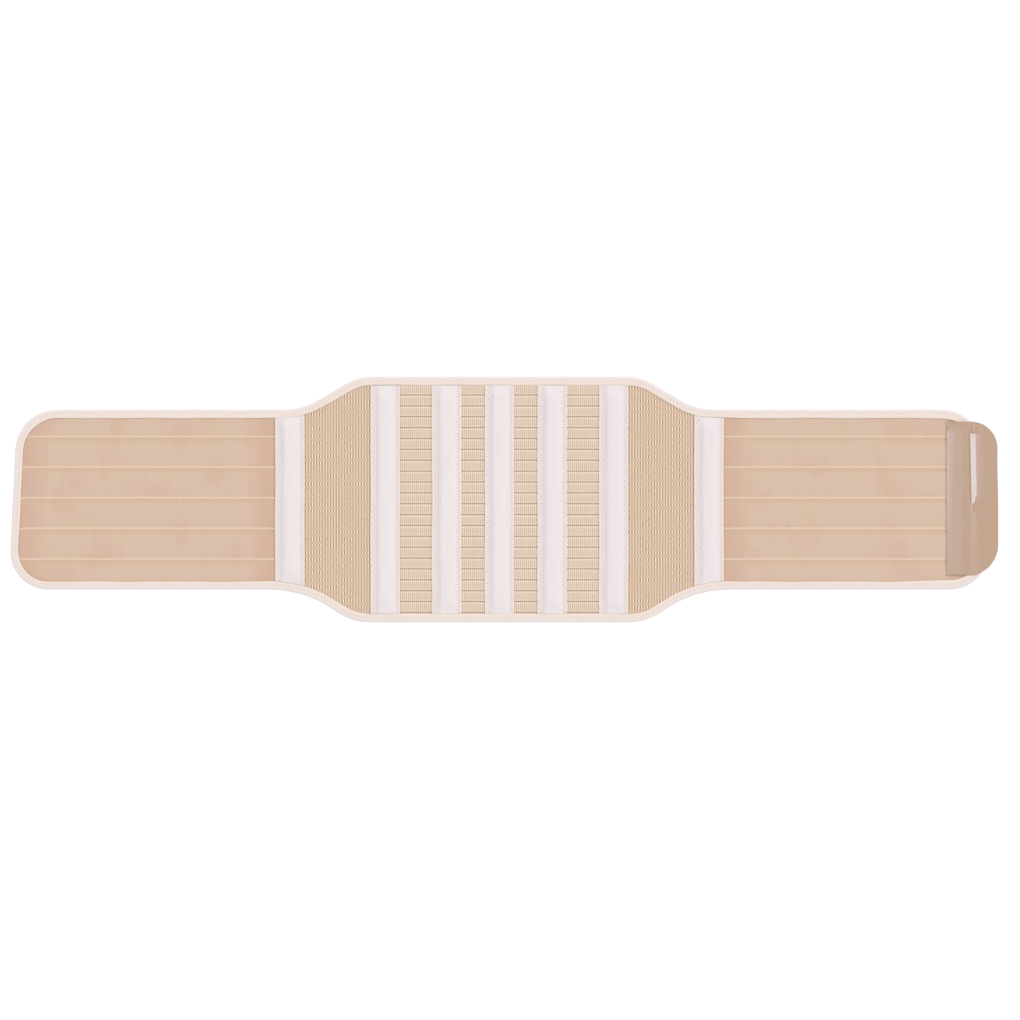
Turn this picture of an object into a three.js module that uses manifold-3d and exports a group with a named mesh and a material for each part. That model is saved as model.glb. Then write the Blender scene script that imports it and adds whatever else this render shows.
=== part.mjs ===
// Lumbosacral brace, laid open and flat with its outer face up, in millimetres with +Z up.
// The origin is the middle of the back panel's inner face. +X runs along the belt towards the
// hook tab, +Y is up when the brace is worn, and the plane z = 0 is the inner face.
import * as THREE from "three";
import { mergeVertices } from "three/addons/utils/BufferGeometryUtils.js";
import Module from "manifold-3d";

const wasm = await Module();
wasm.setup();
const rad = THREE.MathUtils.degToRad;

// Outline of the belt: a tall back, sloping shoulders and two lower wings with leaning ends. The
// bottom shoulders sweep out into the wings in a longer curve than the top ones.
const BACK_HEIGHT = 240;
const WING_HEIGHT = 176;
const HALF_LENGTH = 474.4;
const END_LEAN = rad(2.8);
const END_RADIUS = { top: 41, bottom: 37 };
const SHOULDER = {
  top: { start: 125, slope: rad(31), upperRadius: 48, lowerRadius: 60 },
  bottom: { start: 127, slope: rad(35), upperRadius: 54, lowerRadius: 106 },
};
const ARC_STEP = rad(8);

// Layers: the panels lie at z = 0, thin out at the rim, and the binding folds round that rim.
const GAP = 0.3;
const FIELD_TOP = 3;
const BINDING = { width: 8.4, wall: 1, bend: 1.6, height: 3.6 };
const BINDING_ROUND_STEP = rad(30);
const RIM = { from: BINDING.wall + GAP, to: BINDING.height - BINDING.wall - GAP };
const ABOVE_ALL = 12;

// Panels from left to right. Neighbours meet under the pocket tape that covers their seam.
const WING_SEAM = 204.2;
const BACK_SEAM = 111.3;
const PAST_END = 500;
const PANELS = [
  { name: "wing_left", from: -PAST_END, to: -WING_SEAM, face: "bands" },
  { name: "mesh_gusset_left", from: -WING_SEAM, to: -BACK_SEAM, face: "openwork" },
  { name: "back_panel", from: -BACK_SEAM, to: BACK_SEAM, face: "ribs" },
  { name: "mesh_gusset_right", from: BACK_SEAM, to: WING_SEAM, face: "openwork" },
  { name: "wing_right", from: WING_SEAM, to: PAST_END, face: "bands" },
];

// Repeats down a panel's face. "first" is the y of one line of the repeat, "share" runs from that
// line to the next one below, and "drop" is the depth below the field's top.
const FACES = {
  ribs: {
    first: 112.2,
    pitch: 10.6,
    section: [
      { share: 0, drop: 0.8 },
      { share: 0.07, drop: 0.3 },
      { share: 0.3, drop: 0.05 },
      { share: 0.5, drop: 0 },
      { share: 0.7, drop: 0.05 },
      { share: 0.93, drop: 0.3 },
    ],
  },
  bands: {
    first: 60.8,
    pitch: 29.85,
    section: [
      { share: 0, drop: 0 },
      { share: 0.03, drop: 0.15 },
      { share: 0.07, drop: 0.7 },
      { share: 0.3, drop: 0.45 },
      { share: 0.65, drop: 0.3 },
      { share: 0.93, drop: 0.45 },
      { share: 0.97, drop: 0.15 },
    ],
  },
  openwork: {
    first: 108.6,
    pitch: 6.69,
    section: [
      { share: 0, drop: 0.5 },
      { share: 0.3, drop: 0.5 },
      { share: 0.5, drop: 0.1 },
      { share: 0.8, drop: 0.1 },
    ],
  },
};

// Pocket tapes: a sewn hem along each side and a crown over the flat stay inside. "across" is a
// share of the tape's width, and "crown" fades to nothing at the tape's ends.
const POCKET_WIDTH = 27.2;
const INNER_STAY = 51.4;
const POCKETS = [
  { name: "wing_pocket_left", centre: -WING_SEAM, height: WING_HEIGHT },
  { name: "stay_pocket_1", centre: -BACK_SEAM, height: BACK_HEIGHT },
  { name: "stay_pocket_2", centre: -INNER_STAY, height: BACK_HEIGHT },
  { name: "stay_pocket_3", centre: 0, height: BACK_HEIGHT },
  { name: "stay_pocket_4", centre: INNER_STAY, height: BACK_HEIGHT },
  { name: "stay_pocket_5", centre: BACK_SEAM, height: BACK_HEIGHT },
  { name: "wing_pocket_right", centre: WING_SEAM, height: WING_HEIGHT },
];
const HEM_THICKNESS = 1.1;
const POCKET_SECTION = [
  { across: -0.5, crown: 0 },
  { across: -0.34, crown: 0 },
  { across: -0.27, crown: 1.2 },
  { across: -0.14, crown: 1.9 },
  { across: 0, crown: 2.1 },
  { across: 0.14, crown: 1.9 },
  { across: 0.27, crown: 1.2 },
  { across: 0.34, crown: 0 },
  { across: 0.5, crown: 0 },
];
const POCKET_END = [
  { fromEnd: 0, share: 0.1 },
  { fromEnd: 5, share: 0.5 },
  { fromEnd: 14, share: 1 },
];

// Hook tab: a flexible sheet that laps the right wing's end, drapes over the binding there and
// droops past it. "inside" is the distance in from the belt's edge, negative beyond it.
const TAB = { from: 435.7, to: 486, top: 75.7, bottom: -74.3, thickness: 1.4 };
const TAB_RADIUS = { topOuter: 26, bottomOuter: 30, inner: 2 };
const TAB_GRID = { columns: 16, rows: 16 };
const TAB_SEAT = FIELD_TOP + GAP;
const TAB_CREST = BINDING.height + GAP;
const TAB_DRAPE = [
  { inside: -16, lift: 1 },
  { inside: -9, lift: 2.4 },
  { inside: -3, lift: 3.6 },
  { inside: 0, lift: TAB_CREST },
  { inside: BINDING.width + 4, lift: TAB_CREST },
  { inside: BINDING.width + 9, lift: TAB_SEAT },
];

const FINISHES = {
  bands: { color: 0xd9bfa9, roughness: 0.95 },
  openwork: { color: 0xdcc3aa, roughness: 0.9 },
  ribs: { color: 0xdfcab0, roughness: 0.9 },
  tape: { color: 0xefe6e8, roughness: 0.85 },
  binding: { color: 0xf1e2da, roughness: 0.9 },
  hookSheet: { color: 0xc5a993, roughness: 0.35 },
};

// A closed geometry as a solid that can be joined and cut.
function toSolid(geometry) {
  const bare = geometry.clone().deleteAttribute("normal").deleteAttribute("uv");
  const merged = mergeVertices(bare, 1e-4);
  const mesh = new wasm.Mesh({
    numProp: 3,
    vertProperties: merged.attributes.position.array,
    triVerts: new Uint32Array(merged.index.array),
  });
  return new wasm.Manifold(mesh);
}

function toMesh(name, solid, finish) {
  const { vertProperties, triVerts } = solid.getMesh();
  const geometry = new THREE.BufferGeometry();
  geometry.setAttribute("position", new THREE.BufferAttribute(vertProperties, 3));
  geometry.setIndex(new THREE.BufferAttribute(triVerts, 1));
  geometry.computeVertexNormals();
  const material = new THREE.MeshStandardMaterial({ ...FINISHES[finish], metalness: 0 });
  const mesh = new THREE.Mesh(geometry, material);
  mesh.name = name;
  return mesh;
}

// Straight-line lookup in a table of rows, from one named column to another.
function lookUp(rows, known, wanted, at) {
  const next = rows.findIndex((row) => row[known] >= at);
  if (next === 0) return rows[0][wanted];
  if (next < 0) return rows.at(-1)[wanted];
  const [a, b] = [rows[next - 1], rows[next]];
  return THREE.MathUtils.mapLinear(at, a[known], b[known], a[wanted], b[wanted]);
}

// A plate over the stations xs and ys, with an underside and a top that follow height functions.
function slab(xs, ys, underside, top) {
  const [columns, rows] = [xs.length - 1, ys.length - 1];
  const geometry = new THREE.BoxGeometry(1, 1, 1, columns, rows, 1);
  const place = geometry.attributes.position;
  for (let i = 0; i < place.count; i++) {
    const x = xs[Math.round((place.getX(i) + 0.5) * columns)];
    const y = ys[Math.round((place.getY(i) + 0.5) * rows)];
    place.setXYZ(i, x, y, place.getZ(i) > 0 ? top(x, y) : underside(x, y));
  }
  return toSolid(geometry);
}

function prism(loop, from, to) {
  const shape = new THREE.Shape(loop);
  const geometry = new THREE.ExtrudeGeometry(shape, { depth: to - from, bevelEnabled: false });
  return toSolid(geometry.translate(0, 0, from));
}

function arc(centreX, centreY, radius, from, to, step = ARC_STEP) {
  const steps = Math.max(2, Math.round(Math.abs(to - from) / step));
  const curve = new THREE.EllipseCurve(centreX, centreY, radius, radius, from, to, to < from);
  return curve.getPoints(steps);
}

// A corner of the wing's end: a fillet between a long edge and the leaning end line.
function endCorner(side, radius, from, to) {
  const centreY = side * (WING_HEIGHT / 2 - radius);
  const centreX = HALF_LENGTH - centreY * Math.tan(END_LEAN) - radius / Math.cos(END_LEAN);
  return arc(centreX, centreY, radius, from, to);
}

// A right shoulder, drawn as a top one: off the back's flat edge, down a slope and into the wing's.
function shoulder({ start, slope, upperRadius, lowerRadius }) {
  const radii = upperRadius + lowerRadius;
  const fall = (BACK_HEIGHT - WING_HEIGHT) / 2;
  const straight = (fall - radii * (1 - Math.cos(slope))) / Math.tan(slope);
  const end = start + radii * Math.sin(slope) + straight;
  const quarter = Math.PI / 2;
  return [
    ...arc(start, BACK_HEIGHT / 2 - upperRadius, upperRadius, quarter, quarter - slope),
    ...arc(end, WING_HEIGHT / 2 + lowerRadius, lowerRadius, -quarter - slope, -quarter),
  ];
}

// The belt's outer edge as a closed loop, anticlockwise seen from above.
function beltOutline() {
  const right = [
    ...shoulder(SHOULDER.top),
    ...endCorner(1, END_RADIUS.top, Math.PI / 2, END_LEAN),
    ...endCorner(-1, END_RADIUS.bottom, END_LEAN, -Math.PI / 2),
    ...shoulder(SHOULDER.bottom).map((p) => new THREE.Vector2(p.x, -p.y)).reverse(),
  ];
  const left = right.map((p) => new THREE.Vector2(-p.x, p.y)).reverse();
  return [...right, ...left].reverse();
}

// The loop moved in by a distance, each corner along the bisector of its two edges.
function inset(loop, distance) {
  return loop.map((point, i) => {
    const before = loop.at(i - 1);
    const after = loop[(i + 1) % loop.length];
    const arriving = point.clone().sub(before).normalize();
    const leaving = after.clone().sub(point).normalize();
    const along = arriving.add(leaving).normalize();
    const reach = distance / along.dot(leaving);
    return new THREE.Vector2(point.x - along.y * reach, point.y + along.x * reach);
  });
}

const outline = beltOutline();
const insideBinding = prism(inset(outline, BINDING.width + GAP), -1, ABOVE_ALL);

// Distance in from the belt's edge, negative outside it.
function insideDistance(x, y) {
  const point = new THREE.Vector3(x, y, 0);
  const nearest = new THREE.Vector3();
  let distance = Infinity;
  let within = false;
  outline.forEach((a, i) => {
    const b = outline[(i + 1) % outline.length];
    const edge = new THREE.Line3(new THREE.Vector3(a.x, a.y, 0), new THREE.Vector3(b.x, b.y, 0));
    edge.closestPointToPoint(point, true, nearest);
    distance = Math.min(distance, nearest.distanceTo(point));
    const crosses = a.y > y !== b.y > y;
    if (crosses && x < THREE.MathUtils.mapLinear(y, a.y, b.y, a.x, b.x)) within = !within;
  });
  return within ? distance : -distance;
}

// The rows of a panel's face from bottom to top: each station of the repeat within the back's height.
function faceRows({ first, pitch, section }) {
  const half = BACK_HEIGHT / 2;
  const linesAbove = Math.ceil((half - first) / pitch);
  const linesBelow = Math.ceil((half + first) / pitch);
  const rows = [];
  for (let line = -linesAbove; line <= linesBelow; line++) {
    for (const { share, drop } of section) {
      rows.push({ y: first - (line + share) * pitch, height: FIELD_TOP - drop });
    }
  }
  return rows.filter((row) => Math.abs(row.y) < half).reverse();
}

// A cloth panel: its field inside the binding, and the thin rim that the binding holds.
function panel({ name, from, to, face }) {
  const sides = [from + GAP / 2, to - GAP / 2];
  const rows = faceRows(FACES[face]);
  const heights = new Map(rows.map((row) => [row.y, row.height]));
  const ys = rows.map((row) => row.y);
  const field = slab(sides, ys, () => 0, (x, y) => heights.get(y)).intersect(insideBinding);
  const rimStrip = slab(sides, [-BACK_HEIGHT, BACK_HEIGHT], () => RIM.from, () => RIM.to);
  const rim = prism(inset(outline, BINDING.bend + GAP), 0, ABOVE_ALL).intersect(rimStrip);
  return toMesh(name, field.add(rim), face);
}

// A pocket tape, with its crown fading into the hem near both ends.
function pocket({ name, centre, height }) {
  const seat = FIELD_TOP + GAP;
  const end = height / 2 - BINDING.width;
  const shareAt = (y) => lookUp(POCKET_END, "fromEnd", "share", end - Math.abs(y));
  const crownAt = (x) => lookUp(POCKET_SECTION, "across", "crown", (x - centre) / POCKET_WIDTH);
  const top = (x, y) => seat + HEM_THICKNESS + crownAt(x) * shareAt(y);
  const xs = POCKET_SECTION.map((row) => centre + row.across * POCKET_WIDTH);
  const upper = POCKET_END.map((row) => end - row.fromEnd).reverse();
  const ys = [...upper, BACK_HEIGHT / 2];
  const tape = slab(xs, [...ys.map((y) => -y).reverse(), ...ys], () => seat, top);
  return toMesh(name, tape.intersect(insideBinding), "tape");
}

// The binding's folded section, as distances in from the belt's edge and heights.
function bindingSection() {
  const { width, wall, bend, height } = BINDING;
  const half = height / 2;
  const fold = arc(half, half, half, Math.PI / 2, Math.PI * 1.5, BINDING_ROUND_STEP);
  return [
    { inward: width, z: height },
    ...fold.map((p) => ({ inward: p.x, z: p.y })),
    { inward: width, z: 0 },
    { inward: width, z: wall },
    { inward: bend, z: wall },
    { inward: bend, z: height - wall },
    { inward: width, z: height - wall },
  ];
}

// One strip folded over the whole edge of the belt.
function edgeBinding() {
  const rings = bindingSection().map(({ inward, z }) =>
    inset(outline, inward).map((p) => [p.x, p.y, z]),
  );
  const steps = outline.length;
  const index = [];
  for (let ring = 0; ring < rings.length; ring++) {
    const next = (ring + 1) % rings.length;
    for (let step = 0; step < steps; step++) {
      const onward = (step + 1) % steps;
      const [a, b] = [ring * steps + step, ring * steps + onward];
      const [c, d] = [next * steps + onward, next * steps + step];
      index.push(a, d, b, b, d, c);
    }
  }
  const geometry = new THREE.BufferGeometry();
  geometry.setAttribute("position", new THREE.Float32BufferAttribute(rings.flat(2), 3));
  geometry.setIndex(index);
  return toMesh("edge_binding", toSolid(geometry), "binding");
}

function tabOutline() {
  const { from, to, top, bottom } = TAB;
  const { topOuter, bottomOuter, inner } = TAB_RADIUS;
  return [
    ...arc(from + inner, bottom + inner, inner, Math.PI, Math.PI * 1.5),
    ...arc(to - bottomOuter, bottom + bottomOuter, bottomOuter, -Math.PI / 2, 0),
    ...arc(to - topOuter, top - topOuter, topOuter, 0, Math.PI / 2),
    ...arc(from + inner, top - inner, inner, Math.PI / 2, Math.PI),
  ];
}

function spread(from, to, count) {
  return Array.from({ length: count + 1 }, (_, i) => THREE.MathUtils.lerp(from, to, i / count));
}

// The tab's sheet, lifted over what lies under it and cut to its outline.
function hookTab() {
  const xs = spread(TAB.from, TAB.to, TAB_GRID.columns);
  const ys = spread(TAB.bottom, TAB.top, TAB_GRID.rows);
  const underside = (x, y) => lookUp(TAB_DRAPE, "inside", "lift", insideDistance(x, y));
  const sheet = slab(xs, ys, underside, (x, y) => underside(x, y) + TAB.thickness);
  return toMesh("hook_tab", sheet.intersect(prism(tabOutline(), -1, ABOVE_ALL)), "hookSheet");
}

const brace = new THREE.Group();
brace.name = "lumbosacral_brace";
brace.add(...PANELS.map(panel), ...POCKETS.map(pocket), edgeBinding(), hookTab());

export default brace;
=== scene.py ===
"""Lumbosacral brace, laid open and flat with its outer face up: the looks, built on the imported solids."""

import math

import bpy
import numpy as np
from bpy.props import FloatProperty, FloatVectorProperty, PointerProperty
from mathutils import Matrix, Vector, kdtree


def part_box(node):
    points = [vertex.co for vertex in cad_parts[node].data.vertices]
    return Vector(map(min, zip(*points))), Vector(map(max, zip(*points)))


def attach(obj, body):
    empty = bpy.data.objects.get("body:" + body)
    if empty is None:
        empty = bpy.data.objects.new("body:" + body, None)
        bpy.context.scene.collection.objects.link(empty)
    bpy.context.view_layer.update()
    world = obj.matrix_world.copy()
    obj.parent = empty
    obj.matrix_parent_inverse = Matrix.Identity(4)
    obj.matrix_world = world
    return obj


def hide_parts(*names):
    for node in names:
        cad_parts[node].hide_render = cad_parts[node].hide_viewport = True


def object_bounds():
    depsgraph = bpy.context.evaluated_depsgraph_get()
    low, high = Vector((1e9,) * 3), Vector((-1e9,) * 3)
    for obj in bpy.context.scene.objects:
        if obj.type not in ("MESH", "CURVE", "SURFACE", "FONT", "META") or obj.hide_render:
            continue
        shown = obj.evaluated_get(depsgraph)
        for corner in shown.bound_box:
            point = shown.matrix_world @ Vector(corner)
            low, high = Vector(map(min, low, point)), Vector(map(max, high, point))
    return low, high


bl_info = {
    "name": "Lumbosacral Brace",
    "version": (1, 0, 0),
    "blender": (4, 5, 0),
    "location": "View3D > Sidebar > Brace",
    "description": "Dresses the flat brace in its cloth, tapes, stitching and hook sheet",
    "category": "Object",
}

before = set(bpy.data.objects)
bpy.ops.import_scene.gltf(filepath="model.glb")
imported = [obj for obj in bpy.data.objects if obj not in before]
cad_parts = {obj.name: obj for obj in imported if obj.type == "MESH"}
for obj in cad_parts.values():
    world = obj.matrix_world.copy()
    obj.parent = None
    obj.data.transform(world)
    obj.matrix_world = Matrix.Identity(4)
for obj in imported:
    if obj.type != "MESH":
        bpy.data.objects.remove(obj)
CAD_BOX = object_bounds()
BODY = "root"
MM = 0.001
TURN = 2 * math.pi

WINGS = ("wing_left", "wing_right")
GUSSETS = ("mesh_gusset_left", "mesh_gusset_right")
BACK = "back_panel"
BACK_POCKETS = tuple(f"stay_pocket_{number}" for number in range(1, 6))
POCKETS = ("wing_pocket_left", *BACK_POCKETS, "wing_pocket_right")


def srgb(code):
    """An sRGB hex colour as linear red, green, blue and alpha."""
    parts = [int(code[i : i + 2], 16) / 255 for i in (1, 3, 5)]
    return (*[p / 12.92 if p <= 0.04045 else ((p + 0.055) / 1.055) ** 2.4 for p in parts], 1.0)


def size_of(name, description, millimetres):
    """A length property, stated in millimetres and kept in metres."""
    default = millimetres * MM
    return FloatProperty(name=name, description=description, default=default, unit="LENGTH", precision=5)


def level_of(name, description, default, unit="NONE"):
    """A plain number property, such as a light's strength."""
    return FloatProperty(name=name, description=description, default=default, unit=unit)


def colour_of(name, description, code):
    """A colour property, stated as an sRGB hex colour."""
    return FloatVectorProperty(
        name=name, description=description, default=srgb(code), size=4, subtype="COLOR", min=0, max=1
    )


class BraceSizes(bpy.types.PropertyGroup):
    """Sizes of the cloth's relief and sewing. Outer sizes come from the solids."""

    binding_width: size_of("Binding width", "How far the binding reaches in from the belt's edge", 8.4)
    line_first: size_of("First wing line", "A wing's top sewn line, above the middle", 60.8)
    line_pitch: size_of("Wing line pitch", "From one sewn line of a wing to the next", 29.85)
    line_height: size_of("Wing line height", "How far a wing's sewn line stands up", 0.4)
    rib_first: size_of("First rib line", "The back's top groove, above the middle", 112.2)
    rib_pitch: size_of("Rib pitch", "From one cross groove of the back to the next", 10.6)
    groove_depth: size_of("Groove depth", "Depth of the back's cross grooves", 0.6)
    cord_pitch: size_of("Cord pitch", "From one fine upright cord of the back to the next", 1.951)
    mesh_first: size_of("First slot row", "A gusset's top row of slots, above the middle", 108.6)
    mesh_column: size_of("Open-work column", "From one upright cord of a gusset to the next", 2.74)
    mesh_row: size_of("Open-work row", "From one row of a gusset's slots to the next", 6.69)
    hem_thickness: size_of("Hem thickness", "Thickness of a pocket tape along its sides", 1.1)
    tape_spread: size_of("Tape spread", "How far a tape's soft edges spread past its solid", 0.75)
    pocket_crown: size_of("Pocket crown", "Rise of a pocket tape's middle above its sides", 1.7)
    hem_sewing: size_of("Hem sewing", "From a tape's edge to its row of stitches", 2.9)
    tab_thickness: size_of("Tab thickness", "Thickness of the hook sheet", 1.4)
    tab_top_radius: size_of("Tab top radius", "Round of the hook sheet's upper outer corner", 26)
    tab_bottom_radius: size_of("Tab bottom radius", "Round of the hook sheet's lower outer corner", 30)
    thread: size_of("Thread", "Thickness of the sewing thread", 0.6)
    hem_stitch: size_of("Hem stitch", "From one stitch of a tape's hem to the next", 2.95)
    line_stitch: size_of("Wing stitch", "From one stitch of a wing's line to the next", 4.4)
    binding_stitch: size_of("Binding stitch", "From one stitch of the binding to the next", 3.6)


class BraceColours(bpy.types.PropertyGroup):
    """Colours of the cloth, thread and hook sheet."""

    velour: colour_of("Velour", "Wings", "#D9BFAA")
    # Velour, turned: a pinker tone towards each wing's end and beside its tape, and in random patches.
    velour_pink: colour_of("Velour, turned", "Where the wings' pile lies the other way", "#D4B29E")
    # Velour line: paler raised lines, partly their own colour and partly a painted highlight on their tops.
    velour_line: colour_of("Velour line", "Raised sewn lines of the wings", "#E7CDB8")
    # Velour shade: painted shade under each raised line and a painted shadow along the tape's edge, also
    # the faint upright streaks of the pile.
    velour_shade: colour_of("Velour shade", "Beneath the wings' lines", "#D2B399")
    openwork: colour_of("Open-work", "Ground of the gussets", "#DBC0A8")
    openwork_float: colour_of("Open-work floats", "Raised cords of the gussets", "#FFF0DC")
    # Open-work gaps: painted shade in the hollows between the gussets' cords, standing for the dark slots.
    openwork_gap: colour_of("Open-work gaps", "Between the gussets' cords", "#AD8A6C")
    rib_cord: colour_of("Rib cords", "Fine upright cords of the back panel", "#FCEEDD")
    rib_seam: colour_of("Rib hollows", "Between the back panel's cords", "#BC9D80")
    rib_lip: colour_of("Rib lips", "Beside the back panel's grooves", "#F6E6D6")
    rib_groove: colour_of("Rib grooves", "Bottom of the back panel's grooves", "#AE8C78")
    tape: colour_of("Pocket tape", "Face of the pocket tapes", "#EDE4E6")
    tape_hem: colour_of("Tape hem", "Sewn sides of the pocket tapes", "#EDDFDB")
    tape_lip: colour_of("Tape lip", "Folded edge of the pocket tapes", "#F4E6E0")
    # Tape lines: fine sunk lines, and painted shade along the hem's fold.
    tape_line: colour_of("Tape lines", "Fine sunk lines along the pocket tapes", "#CFC2C3")
    binding: colour_of("Binding", "Face of the edge binding", "#EFDFD6")
    binding_rim: colour_of("Binding rim", "Outer fold of the edge binding", "#ECE3E3")
    binding_lip: colour_of("Binding lip", "Inner edge of the edge binding", "#F1E3D8")
    # Tape thread: tinted darker than the cream thread, as painted shade for the stitches' needle holes.
    thread_tape: colour_of("Tape thread", "Thread of the pocket tapes", "#C0B0AE")
    thread_binding: colour_of("Binding thread", "Thread of the edge binding", "#E9D5CC")
    thread_wing: colour_of("Wing thread", "Thread of the wings' lines", "#EBD2BE")
    hook_sheet: colour_of("Hook sheet", "Moulded hook tab", "#BFA088")
    # Hook sheet crease: painted shade along the foot of the tab's sharp fold.
    hook_crease_painted_shade: colour_of("Hook sheet crease", "Foot of the hook tab's sharp fold", "#A58A76")
    hook_field: colour_of("Hook field", "Underside of the hook tab", "#CDB7A4")
    floor: colour_of("Floor", "Studio paper", "#FFFFFF")


class BraceStage(bpy.types.PropertyGroup):
    """Camera and light."""

    frame_width: size_of("Frame width", "Width of the picture at the belt", 995.1)
    aim_x: size_of("Aim along", "Middle of the picture along the belt", 10.34)
    aim_y: size_of("Aim up", "Middle of the picture across the belt", -10.44)
    lens: level_of("Lens", "Focal length in millimetres", 120, "CAMERA")
    sky: level_of("Sky", "Strength of the even studio light", 0.82)
    key: level_of("Key", "Strength of the soft light from the top right", 0.9)
    gloss: level_of("Gloss", "Power of the strip that the hook tab mirrors", 1.5, "POWER")
    gleam: level_of("Gleam", "Power of each box that the hook tab mirrors", 1.2, "POWER")
    gloss_colour: colour_of("Gloss colour", "Cool white of the strip", "#CEE6F7")
    gleam_colour: colour_of("Gleam colour", "Lilac white of the boxes", "#B9C0FF")


# In the materials, inputs 1 to 4 of a Map Range are the value's range before and after, and inputs 0, 6
# and 7 of a colour Mix are the second colour's share and the two colours.


def add_node(tree, kind, joins=None, out=0, **settings):
    """Adds a shader node, sets its properties, sets or links its inputs, and gives one output."""
    made = tree.nodes.new("ShaderNode" + kind)
    for name, value in settings.items():
        setattr(made, name, value)
    for key, value in (joins or {}).items():
        if isinstance(value, bpy.types.NodeSocket):
            tree.links.new(value, made.inputs[key])
        else:
            made.inputs[key].default_value = value
    return made.outputs[out]


def new_material(name, sockets):
    """A material with a Principled shader, its constant values set on the shader's own sockets."""
    material = bpy.data.materials.new(name)
    material.use_nodes = True
    tree = material.node_tree
    shader = tree.nodes["Principled BSDF"]
    for key, value in sockets.items():
        shader.inputs[key].default_value = value
    return material, tree, shader


def read_patterns(tree, noises, marks):
    """Noise of each size, upright stretch and detail, and then the marks made on a piece's points."""
    place = add_node(tree, "TexCoord", out="Object")
    made = []
    for size, stretch, detail in noises:
        drawn = add_node(tree, "Mapping", {"Vector": place, "Scale": (1, 1 / stretch, 1)})
        made.append(add_node(tree, "TexNoise", {"Vector": drawn, "Scale": 1 / size, "Detail": detail}))
    for name in marks:
        made.append(add_node(tree, "Attribute", out="Fac", attribute_name=name))
    return made


def dress(tree, shader, ground, layers, height, depth, strength):
    """Lays colours over a ground colour, each by its share, and gives the face a fine relief."""
    colour = ground
    for share, over in layers:
        colour = add_node(tree, "Mix", {0: share, 6: colour, 7: over}, out=2, data_type="RGBA")
    tree.links.new(colour, shader.inputs["Base Color"])
    bump = add_node(tree, "Bump", {"Height": height, "Distance": depth, "Strength": strength})
    tree.links.new(bump, shader.inputs["Normal"])


def ease(low, high, value):
    """From 0 at low to 1 at high, with a soft start and end."""
    share = np.clip((value - low) / (high - low), 0, 1)
    return share * share * (3 - 2 * share)


def hump(offset, width):
    """A soft bump: 1 in its middle, and almost nothing at twice its width."""
    return np.exp(-((offset / width) ** 2))


def wander(place, reach, period, phase=0.0):
    """The slow, uneven wander of hand-guided cloth, never more than its reach."""
    turns = TURN * place / period
    return reach * (np.sin(turns + phase) + 0.6 * np.sin(turns / 0.61 + 1.7 * phase)) / 1.6


def line_offset(y, first, pitch):
    """Signed distance to the nearest line of a repeat, positive below the line."""
    turns = (first - y) / pitch
    return (turns - np.rint(turns)) * pitch


def points_of(piece):
    flat = np.empty(len(piece.data.vertices) * 3)
    piece.data.vertices.foreach_get("co", flat)
    return flat.reshape(-1, 3)


def move_points(piece, points):
    piece.data.vertices.foreach_set("co", np.ascontiguousarray(points, np.float32).ravel())
    piece.data.update()


def mark(piece, name, values):
    """Keeps a value for each point, which the piece's material reads by name."""
    layer = piece.data.attributes.new(name, "FLOAT", "POINT")
    layer.data.foreach_set("value", np.ascontiguousarray(values, np.float32))


def select_only(piece):
    bpy.ops.object.select_all(action="DESELECT")
    piece.select_set(True)
    bpy.context.view_layer.objects.active = piece


def start_grid(name, across, along):
    """A grid primitive with a line of points at each station across and along."""
    bpy.ops.object.select_all(action="DESELECT")
    columns, rows = len(across) - 1, len(along) - 1
    bpy.ops.mesh.primitive_grid_add(x_subdivisions=columns, y_subdivisions=rows, size=1)
    piece = bpy.context.object
    piece.name = piece.data.name = name
    points = points_of(piece)
    column = np.rint((points[:, 0] + 0.5) * columns).astype(int)
    row = np.rint((points[:, 1] + 0.5) * rows).astype(int)
    move_points(piece, np.column_stack([across[column], along[row], np.zeros(len(points))]))
    return piece


def apply_modifier(piece, kind, **settings):
    select_only(piece)
    modifier = piece.modifiers.new(kind.title(), kind)
    for name, value in settings.items():
        setattr(modifier, name, value)
    bpy.ops.object.modifier_apply(modifier=modifier.name)


def thicken(piece):
    """Gives a flat sheet an underside, and says which of its points are on the upper side."""
    thickness = 1 * MM
    apply_modifier(piece, "SOLIDIFY", thickness=thickness, offset=-1)
    return points_of(piece)[:, 2] > -thickness / 2


def delete_faces(piece, doomed):
    select_only(piece)
    bpy.context.tool_settings.mesh_select_mode = (False, False, True)
    piece.data.vertices.foreach_set("select", np.zeros(len(piece.data.vertices), bool))
    piece.data.edges.foreach_set("select", np.zeros(len(piece.data.edges), bool))
    piece.data.polygons.foreach_set("select", doomed)
    bpy.ops.object.mode_set(mode="EDIT")
    bpy.ops.mesh.delete(type="FACE")
    bpy.ops.object.mode_set(mode="OBJECT")


def face_centres(piece):
    flat = np.empty(len(piece.data.polygons) * 3)
    piece.data.polygons.foreach_get("center", flat)
    return flat.reshape(-1, 3)


def finish_piece(piece, material, node=None, smooth_below=50):
    """Smooth shading, finish and place in the frame."""
    select_only(piece)
    bpy.ops.object.shade_smooth_by_angle(angle=math.radians(smooth_below))
    piece.data.materials.clear()
    piece.data.materials.append(material)
    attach(piece, BODY)
    if node:
        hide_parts(node)
    return piece


EDGE_STEP = 1 * MM
EDGE_SMOOTHING = 12
RING_TOLERANCE = 0.05 * MM
# The binding has a section at every second point of the edge, so their number is even.
BINDING_STEP = 2


def even_places(loop, step, multiple=1):
    """Places about a step apart round a closed loop, as many as a multiple of a number."""
    closed = np.vstack([loop, loop[:1]])
    run = np.concatenate([[0], np.cumsum(np.linalg.norm(np.diff(closed, axis=0), axis=1))])
    count = multiple * round(run[-1] / step / multiple)
    stations = np.linspace(0, run[-1], count, endpoint=False)
    return np.column_stack([np.interp(stations, run, closed[:, axis]) for axis in (0, 1)])


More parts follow.
